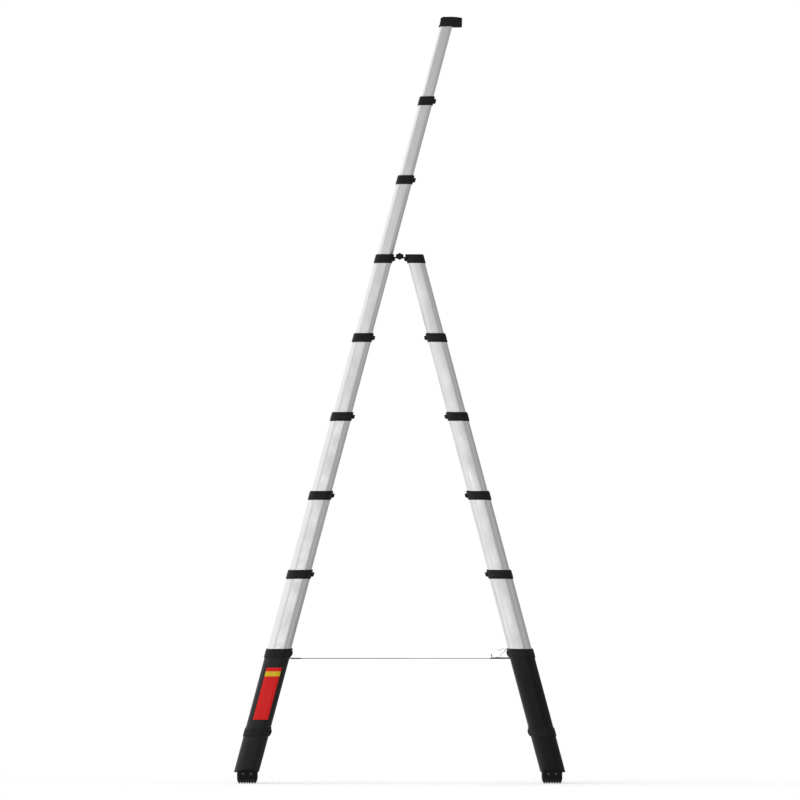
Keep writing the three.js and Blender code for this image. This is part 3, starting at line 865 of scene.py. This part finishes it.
def make_button(ladder, side):
    """A rounded pad with five finger ribs, on a stem that slides in the rung's slot. The slot's opening is a
    thin dark sheet of painted shade.
    """
    node = f"{ladder.name}_release_button_{side}"
    low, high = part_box(node)
    out = -ladder.sign  # the pad's side of the rung
    face = low.x if out < 0 else high.x
    centre = (low + high) / 2
    half_y, half_z = (high.y - low.y) / 2, (high.z - low.z) / 2
    proud = 7 * MM

    def rings(outline, rows):
        """Each row is a depth behind the pad's face, and a share of the outline's size."""
        return [[Vector((face - out * depth, centre.y + a * share, centre.z + b * share)) for a, b in outline]
                for depth, share in rows]

    pad = []
    for depth, side_in, end_in in PAD_BANDS:
        outline = rounded_rectangle(half_y - (side_in + end_in) * MM, half_z - side_in * MM, 2.2 * MM, 5)
        pad += rings(outline, [(depth * MM, 1)])
    shape = Shape().loft(pad)
    rib_outline = rounded_rectangle(0.9 * MM, half_z - 2.6 * MM, 0.7 * MM, 3)
    for k in range(-2, 3):
        rib = rings(rib_outline, ((1.6 * MM, 1.1), (0.4 * MM, 1.0), (0, 0.8)))
        shape.loft([[point + Vector((0, k * 4.6 * MM, 0)) for point in ring] for ring in rib])
    stem = rounded_rectangle(8 * MM, 4 * MM, 0.8 * MM, 3)
    shape.loft(rings(stem, ((proud - 0.5 * MM, 1), (high.x - low.x, 1))))
    piece(f"{ladder.name}_{side}_release_pad", shape, BUTTON_NYLON, node, "release_button", [node])
    # Painted shade: the rung isn't cut, so a thin dark sheet flush with its face stands for the shaded hollow
    # of the open slot round the stem.
    slot_hollow_outline = [(a - SIDES[side] * 6 * MM, b) for a, b in rounded_rectangle(14.3 * MM, 4.3 * MM, 1 * MM, 3)]
    slot = Shape().loft(rings(slot_hollow_outline, ((proud + FIT + 0.3 * MM, 1), (proud + FIT - 0.08 * MM, 1))))
    body = ladder.body(BUTTON_LEVEL)
    piece(f"{ladder.name}_{side}_release_slot", slot, COLLAR_NYLON, body, "step_moulding")


# ---- Feet ----
FOOT_HALF = 37.3 * MM
SOLE_HALF = 31 * MM
SHOULDER_Z = 46 * MM
ARCH = 6.5 * MM
TEETH = 7
# In millimetres: height, half the length along X, and inset at the two faces
SHOE_BANDS = ((14, 35.9, 2), (15, 36.9, 1), (16.2, 37.3, 0.6), (40, 37.3, 0.6))
SOLE_BANDS = ((4, 33.2, 2.4), (5.5, 34.4, 1.6), (8, 35.6, 1.1), (11, 36.2, 0.9), (13.6, 36.4, 1),
              (14.6, 35.6, 1.8))
TOOTH_BANDS = ((0, 2.0, 1.0), (0.5, 2.3, 0.3), (1.2, 2.4, 0), (5, 3.9, 0))
# In millimetres: radius and distance out from the shoe's face
RIVET = [(4.9, -0.4), (4.9, 0.2), (4.5, 0.5), (3.9, 0.5), (3.5, 0.1), (3.4, -3.0), (1.0, -3.2)]


class Foot:
    """A rounded shoe with a toothed sole and two hollow rivets on each face."""

    def __init__(self, ladder, side):
        self.node, self.body = f"{ladder.name}_foot_{side}", f"{ladder.name}_base"
        self.name, self.sign = f"{ladder.name}_{side}", ladder.sign
        low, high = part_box(self.node)
        self.half_y = (high.y - low.y) / 2
        self.y = ladder.rails[side, 1].y
        self.x = ladder.axis_x(SHOULDER_Z + ARCH)

    def ring(self, outline, z, x=0.0):
        """A level outline about a distance x away from the climber."""
        return [Vector((self.sign * (self.x + x + a), self.y + b, z)) for a, b in outline]

    def rings(self, bands):
        rings = []
        for z, half_x, inwards in bands:
            corner = min(11, half_x - 0.5) * MM
            outline = rounded_rectangle(half_x * MM, self.half_y - inwards * MM, corner, 7)
            rings.append(self.ring(outline, z * MM))
        return rings

    def make_shoe(self):
        bands = list(SHOE_BANDS)
        for share in (k / 8 for k in range(8)):
            half_x = FOOT_HALF * 2 / math.pi * math.acos(min(share, 0.96))
            bands.append(((SHOULDER_Z + ARCH * share) / MM, half_x / MM, 0.6 + 1.6 * share ** 3))
        shape = Shape().loft(self.rings(bands))
        return piece(f"{self.name}_shoe", shape, FOOT_NYLON, self.body, "foot_rubber", [self.node])

    def make_sole(self):
        sole = Shape().loft(self.rings(SOLE_BANDS))
        pitch = (2 * SOLE_HALF - 4.6 * MM) / (TEETH - 1)
        for k in range(TEETH):
            reach = self.half_y - (4.5 if k in (0, TEETH - 1) else 1.6) * MM
            rows = []
            for z, half, inwards in TOOTH_BANDS:
                outline = rounded_rectangle(half * MM, reach - inwards * MM, 1.4 * MM, 3)
                rows.append(self.ring(outline, z * MM, (k - (TEETH - 1) / 2) * pitch))
            sole.loft(rows)
        piece(f"{self.name}_sole", sole, SOLE_RUBBER, self.body, "foot_rubber")

    def make_rivets(self, shoe):
        rivets, holes = Shape(), Shape()
        for x in (-14.6 * MM, 13.4 * MM):
            for face in (1, -1):
                spot = (self.sign * (self.x + x), self.y + face * (self.half_y - 0.6 * MM), 35 * MM)
                rivets.stud(spot, (0, face, 0), RIVET, 24)
                holes.stud(spot, (0, face, 0), [(3.6, -4.2), (3.6, 1)], 24)
        carve(shoe, holes)
        piece(f"{self.name}_foot_rivets", rivets, BLACK_STEEL, self.body, "hinge_steel")


def make_foot(ladder, side):
    foot = Foot(ladder, side)
    shoe = foot.make_shoe()
    foot.make_sole()
    foot.make_rivets(shoe)


# ---- Label: a plain sticker on the outer face of the front ladder's right base tube ----
def sticker(name, material, u_low, u_high, z_low, z_high, lift):
    """A thin film on the tube's outer face, between two distances u square to the rail and two heights."""
    rail = FRONT.rails["right", 1]
    steps = 16
    across = [u_low + (u_high - u_low) * k / steps for k in range(steps + 1)]
    rings = []
    for z in (z_low, z_high):
        outer = [rail.at(u * STRETCH, -rail.face(u, lift), z) for u in across]
        under = [rail.at(u * STRETCH, -rail.face(u, 0.02 * MM), z) for u in reversed(across)]
        rings.append(outer + under)
    piece(name, Shape().loft(rings), material, "front_base", "black_tube", (), 40)


def make_label():
    """A plain red field with one plain yellow band across it near the top."""
    low, high, half = 234 * MM, 425 * MM, 26.6 * MM
    sticker("label_field", LABEL_RED, -half, half, low, high, 0.18 * MM)
    sticker("label_band", LABEL_YELLOW, -half, half, high - 32 * MM, high - 14 * MM, 0.26 * MM)


# ---- Strap, its brackets and its hook ----
STRAP_PIN_Z = 456 * MM


def make_bracket(ladder):
    """Two ears under the second rung, with a headed pin between them. It returns the pin's middle."""
    place, body = ladder.square(BUTTON_LEVEL), f"{ladder.name}_base"
    drop = STRAP_PIN_Z - ladder.rung_z(BUTTON_LEVEL)
    top, radius = 0.3 * MM - RUNG_HALF_HEIGHT, 6.5 * MM
    ear = [(-radius, top)] + arc((0, drop), radius, 180, 360, 12) + [(radius, top)]
    foot = filleted(rectangle(-11 * MM, 11 * MM, top - 1.6 * MM, top), 0.8 * MM, 2)
    shape = Shape()
    for low, high, foot_low, foot_high in ((16, 20, 16, 28), (-20, -16, -28, -16)):  # along Y, in millimetres
        shape.across(place, ear, rounded_ends(low * MM, high * MM, 0.6 * MM, 2))
        shape.across(place, foot, rounded_ends(foot_low * MM, foot_high * MM, 0.5 * MM, 2))
    piece(f"{ladder.name}_strap_bracket", shape, BLACK_STEEL, body, "step_moulding")
    centre = place(0, 0, drop)
    profile = [(3.0, -21.2), (3.4, -20.8), (3.5, -20), (3.5, 20), (3.4, 20.8), (3.0, 21.2)]
    pin = Shape().turned(centre.x, centre.z, in_mm(profile), 28)
    head = [(4.6, 20.1), (5.2, 20.3), (5.2, 21.0), (4.4, 21.8), (2.0, 22.0)]
    for sign in (1, -1):
        pin.turned(centre.x, centre.z, in_mm([(radius, sign * y) for radius, y in head]), 28)
    piece(f"{ladder.name}_strap_pin", pin, STEEL, body, "hinge_steel")
    return centre


def band(x_low, x_high, z, half_width, half_thickness, spacing=12 * MM):
    """A flat woven band along X with rounded selvedges and a slight waviness."""
    count = max(2, round((x_high - x_low) / spacing))
    waviness = 0.12 * MM
    rings = []
    for k in range(count + 1):
        x = x_low + (x_high - x_low) * k / count
        wave = waviness * math.sin(9.0 * k) * (0 < k < count)
        outline = rounded_rectangle(half_width + wave, half_thickness, half_thickness * 0.98, 4)
        rings.append([Vector((x, y, z + rise)) for y, rise in outline])
    return rings


class Strap:
    """A flat strap in two lengths: the rear one slides inside the front one, which is woven as a sleeve."""

    OVERLAP = 18 * MM  # how far each length goes on past the middle
    SLEEVE_HALF = 1.2 * MM
    SLEEVE_PLY = 0.14 * MM
    SEWN_LENGTH = 77 * MM
    SEWN_THICKER = 0.8 * MM
    REAR_SEWN_X = 329 * MM
    REAR_SEWN_HALF = 1.45 * MM
    REAR_SEWN_DROP = 0.35 * MM  # keeps it clear of the plate
    STITCHES = 9
    FOLDED_END = Vector((-10, 0, 9.5)) * MM  # from the rear pin, once that has swung in

    def __init__(self):
        self.low, self.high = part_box("restraint_strap")
        self.z = (self.low.z + self.high.z) / 2
        self.half_width = (self.high.y - self.low.y) / 2

    def sleeve(self):
        span = (self.low.x + 30 * MM, self.OVERLAP, self.z)
        outside = band(*span, self.half_width, self.SLEEVE_HALF)
        inside = band(*span, self.half_width - 0.5 * MM, self.SLEEVE_HALF - self.SLEEVE_PLY)
        return Shape().loft(outside + inside[::-1], closed=True)

    def stitching(self, start, stop, half_thickness):
        """Two rows of stitches along the edges and a cross between them, on both faces."""
        edge = 0.76 * self.half_width
        shape = Shape()
        for y_from, y_to in ((-edge, -edge), (edge, edge), (-edge, edge), (edge, -edge)):
            lean = Vector((stop - start, y_to - y_from, 0)).normalized() * 1.1 * MM
            for k in range(self.STITCHES):
                share = (k + 0.5) / self.STITCHES
                x, y = start + (stop - start) * share, y_from + (y_to - y_from) * share
                for face in (1, -1):
                    middle = Vector((x, y, self.z + face * half_thickness))
                    top = middle + Vector((0, 0, face * 0.28 * MM))
                    shape.wire([middle - lean, top, middle + lean], 0.28 * MM, 6)
        return shape

    def make_front(self, pin):
        """The loop round the pin, the black sewn end, and the sleeve with its stitching."""
        loop = arc((pin.x, pin.z), 5.4 * MM, 20, 340, 20) + arc((pin.x, pin.z), 4.2 * MM, 340, 20, 20)
        reach = self.half_width - 0.6 * MM
        eye = Shape().across(as_placed, loop, [(-reach, 0), (reach, 0)])
        piece("strap_eye", eye, BLACK_WEBBING, "front_base", "strap_webbing")
        end = self.low.x + self.SEWN_LENGTH
        half = self.SLEEVE_HALF + self.SEWN_THICKER
        sewn = Shape().loft(band(self.low.x + 1 * MM, end, self.z, self.half_width - 0.2 * MM, half, 8 * MM))
        thread = self.stitching(end - 34 * MM, end - 4 * MM, half)
        rest = ("front_base", "strap_webbing")
        return [
            piece("strap_band", self.sleeve(), GREY_WEBBING, *rest, ["restraint_strap"]),
            piece("strap_sewn_end", sewn, BLACK_WEBBING, *rest),
            piece("strap_stitching", thread, GREY_WEBBING, *rest),
        ]

    def make_rear(self):
        """The length inside the sleeve, and its black sewn end under the hook's plate."""
        half = self.SLEEVE_HALF - self.SLEEVE_PLY - 0.04 * MM
        main = Shape().loft(band(-self.OVERLAP, self.high.x, self.z, self.half_width - 0.9 * MM, half))
        sewn = Shape().loft(band(self.REAR_SEWN_X, self.high.x, self.z - self.REAR_SEWN_DROP,
                                 self.half_width - 0.4 * MM, self.REAR_SEWN_HALF, 8 * MM))
        return [
            piece("strap_rear_band", main, GREY_WEBBING, "strap_hook", "strap_webbing", ["restraint_strap"]),
            piece("strap_rear_sewn_end", sewn, BLACK_WEBBING, "strap_hook", "strap_webbing"),
        ]

    def fold(self, front_pieces, rear_pieces, rear_pin):
        """Finds the fold joint and its pivot, and gives each piece of the two lengths a mesh of its own."""
        joint = next(joint for joint in frame["joints"] if joint["name"] == "fold")
        pivot = Vector(joint["pos_m"])
        for each in front_pieces:
            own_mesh(each)
        for each in rear_pieces:
            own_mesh(each)


def make_hook(rear_pin):
    """A plate with an eye round the pin, a lip, two rivets through the strap, and a bent wire clip."""
    low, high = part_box("strap_hook")
    half_width = (high.y - low.y) / 2
    thickness = 2.4 * MM
    plate_low = high.z - 14 * MM
    plate_high = plate_low + thickness
    tip, root = low.x, rear_pin.x - 3 * MM
    corners = [(tip, plate_low), (root, plate_low), (root, plate_high),
               (tip + thickness, plate_high), (tip + thickness, high.z), (tip, high.z)]
    ends = rounded_ends(-half_width, half_width, 0.7 * MM, 2)
    shape = Shape().across(as_placed, filleted(corners, 1 * MM, 3), ends)
    eye = in_mm([(3.8, 0.4), (4.1, 0), (5.2, 0), (5.5, 0.4)])
    profile = [(radius, y - half_width) for radius, y in eye]
    profile += [(radius, half_width - y) for radius, y in reversed(eye)]
    shape.turned(rear_pin.x, rear_pin.z, profile, 32, closed=True)
    roll = arc((tip + 2.6 * MM, high.z - 2.4 * MM), 2.3 * MM, 0, 345, 23)
    shape.across(as_placed, roll, rounded_ends(0.5 * MM - half_width, half_width - 0.5 * MM, 0.4 * MM, 2))
    piece("hook_plate", shape, BLACK_STEEL, "strap_hook", "hook_steel", ["strap_hook"])
    rivet = Shape()
    head = [(4.4, 0), (4.4, 0.6), (3.4, 1.5), (1.6, 1.9)]
    for y in (-7 * MM, 7 * MM):
        rivet.stud((tip + 24 * MM, y, plate_high - 0.1 * MM), (0, 0, 1), head)
    piece("hook_rivets", rivet, BLACK_STEEL, "strap_hook", "hinge_steel")
    make_wire_clip(tip, plate_high)


WIRE_ROUTE = [  # in millimetres, from the plate's tip and top
    (34.5, 0.5), (34.7, 7), (38, 12.6), (45, 17.7), (49, 22), (51.5, 27), (56, 30), (60.5, 28.5), (61, 23.5),
    (57, 21.3), (52.5, 24.5), (48.5, 29.5), (44, 32.3), (37, 28.6), (31, 24), (26, 26.5), (23, 29),
]


def make_wire_clip(tip, plate_high):
    """A bent spring wire that stands on the plate, turns one small coil and ends free."""
    spread = 6 * MM  # along Y, so that the coil passes clear of itself
    points = []
    for k, (x, rise) in enumerate(WIRE_ROUTE):
        y = spread * (k / (len(WIRE_ROUTE) - 1) - 1)
        points.append(Vector((tip + x * MM, y, plate_high + rise * MM)))
    smooth = []
    for i in range(len(points) - 1):
        before, a = points[max(i - 1, 0)], points[i]
        b, after = points[i + 1], points[min(i + 2, len(points) - 1)]
        for k in range(4):
            t = k / 4
            bend = (2 * before - 5 * a + 4 * b - after) * t ** 2 + (3 * a - before - 3 * b + after) * t ** 3
            smooth.append(0.5 * (2 * a + (b - before) * t + bend))
    smooth.append(points[-1])
    wire = Shape().wire(smooth, 0.75 * MM)
    clip = piece("hook_wire_clip", wire, SPRING_STEEL, "strap_hook", "hook_steel")
    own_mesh(clip)


# ---- The camera, the floor and the light ----
def make_camera():
    """Square to the ladder's side, level with its middle, and far enough back to see both rails as one."""
    seen_width, lens, sensor = 2.941, 1700, 36
    data = bpy.data.cameras.new("camera")
    data.lens, data.sensor_width = lens, sensor
    data.clip_start, data.clip_end = 10, 400
    camera = add_object("camera", data)
    camera.location = (1.3 * MM, -seen_width * lens / sensor, (cad_low.z + cad_high.z) / 2)
    camera.rotation_euler = (math.pi / 2, 0, 0)
    bpy.context.scene.camera = camera


def make_floor():
    """A pale disc that fades into the white backdrop."""
    radius, drop, sides = 9.0, 0.6 * MM, 72
    mesh = bpy.data.meshes.new("floor")
    mesh.from_pydata([(x, y, -drop) for x, y in circle(radius, sides)], [], [tuple(range(sides))])
    made = add_object("floor", mesh)
    finish = Finish("pale_floor", (0.90, 0.90, 0.90), 0.7)
    finish.fill(finish.shader, {"Emission Color": (1, 1, 1, 1), "Emission Strength": 0.35})
    own = finish.node("ShaderNodeTexCoord").outputs["Object"]
    away = finish.node("ShaderNodeVectorMath", {0: own}, operation="LENGTH").outputs["Value"]
    glow = finish.node("ShaderNodeEmission", {"Color": (1, 1, 1, 1), "Strength": 1.0})
    shares = {"Fac": finish.span(away, 0.0, 1.0, 1.0, 3.4), 1: finish.shader.outputs[0], 2: glow.outputs[0]}
    mix = finish.node("ShaderNodeMixShader", shares)
    finish.fill(finish.tree.nodes["Material Output"], {"Surface": mix.outputs[0]})
    mesh.materials.append(finish.material)
    made.visible_glossy = made.visible_diffuse = False  # the studio round the object lights it, not the floor


def make_light(name, place, aim, size, watts):
    data = bpy.data.lights.new(name, "AREA")
    data.shape, data.size, data.size_y = "RECTANGLE", size[0], size[1]
    data.energy = watts
    lamp = add_object(name, data)
    lamp.location = place
    lamp.rotation_euler = (Vector(aim) - Vector(place)).to_track_quat("-Z", "Y").to_euler()


STUDIO_STRENGTH = 1.3
STUDIO_TONES = (  # by the direction round the object, in degrees from -Y towards +X
    (-180, 0.55), (-150, 0.85), (-60, 0.90), (-40, 0.84), (-22, 0.50), (-8, 0.22), (15, 0.22), (35, 0.34),
    (55, 0.46), (75, 0.38), (100, 0.31), (120, 0.28), (155, 0.25), (180, 0.50),
)


def make_world():
    """White behind the object. What lights it is a soft studio, brighter on the side of -X."""
    world = bpy.data.worlds.new("studio")
    bpy.context.scene.world = world
    world.use_nodes = True
    world.node_tree.nodes.clear()
    studio = Nodes(world.node_tree)
    place = studio.node("ShaderNodeTexCoord").outputs["Generated"]
    parts = studio.node("ShaderNodeSeparateXYZ", {0: place}).outputs
    heading = studio.maths("ARCTAN2", parts["X"], studio.maths("MULTIPLY", parts["Y"], -1))
    share = studio.span(heading, 0.0, 1.0, -math.pi, math.pi)
    ramp = studio.node("ShaderNodeValToRGB", {"Fac": share})
    elements = ramp.color_ramp.elements
    while len(elements) < len(STUDIO_TONES):
        elements.new(0.5)
    for element, (degrees, tone) in zip(elements, STUDIO_TONES):
        element.position = (degrees + 180) / 360
        element.color = (tone, tone, tone, 1)
    light = studio.node("ShaderNodeBackground", {"Color": ramp.outputs["Color"], "Strength": STUDIO_STRENGTH})
    backdrop = studio.node("ShaderNodeBackground", {"Color": (1, 1, 1, 1)})
    seen = studio.node("ShaderNodeLightPath").outputs["Is Camera Ray"]
    mix = studio.node("ShaderNodeMixShader", {"Fac": seen, 1: light.outputs[0], 2: backdrop.outputs[0]})
    studio.node("ShaderNodeOutputWorld", {"Surface": mix.outputs[0]})


# ---- Assembly ----
make_camera()
make_world()
make_floor()
make_light("key", (-0.6, -7.0, 0.8), (0, 0, 0.8), (3.0, 2.2), 38)
bpy.context.scene.view_settings.view_transform = "Standard"

for ladder in (FRONT, REAR):
    for stage in range(1, ladder.stages + 1):
        for side in SIDES:
            make_tube(ladder, side, stage)
    make_step(ladder, 0, "ring")
    for level in range(1, ladder.stages):
        make_step(ladder, level, "sliding")
    if ladder is REAR:
        make_step(ladder, ladder.stages, "closed")
    for side in SIDES:
        make_arm(ladder, side)
        make_button(ladder, side)
        make_foot(ladder, side)

make_rung(FRONT, FRONT.stages)
for side in SIDES:
    make_cap(side)
    make_knob(side)
make_axle()
make_label()
front_pin = make_bracket(FRONT)
rear_pin = make_bracket(REAR)
strap = Strap()
strap.fold(strap.make_front(front_pin), strap.make_rear(), rear_pin)
make_hook(rear_pin)
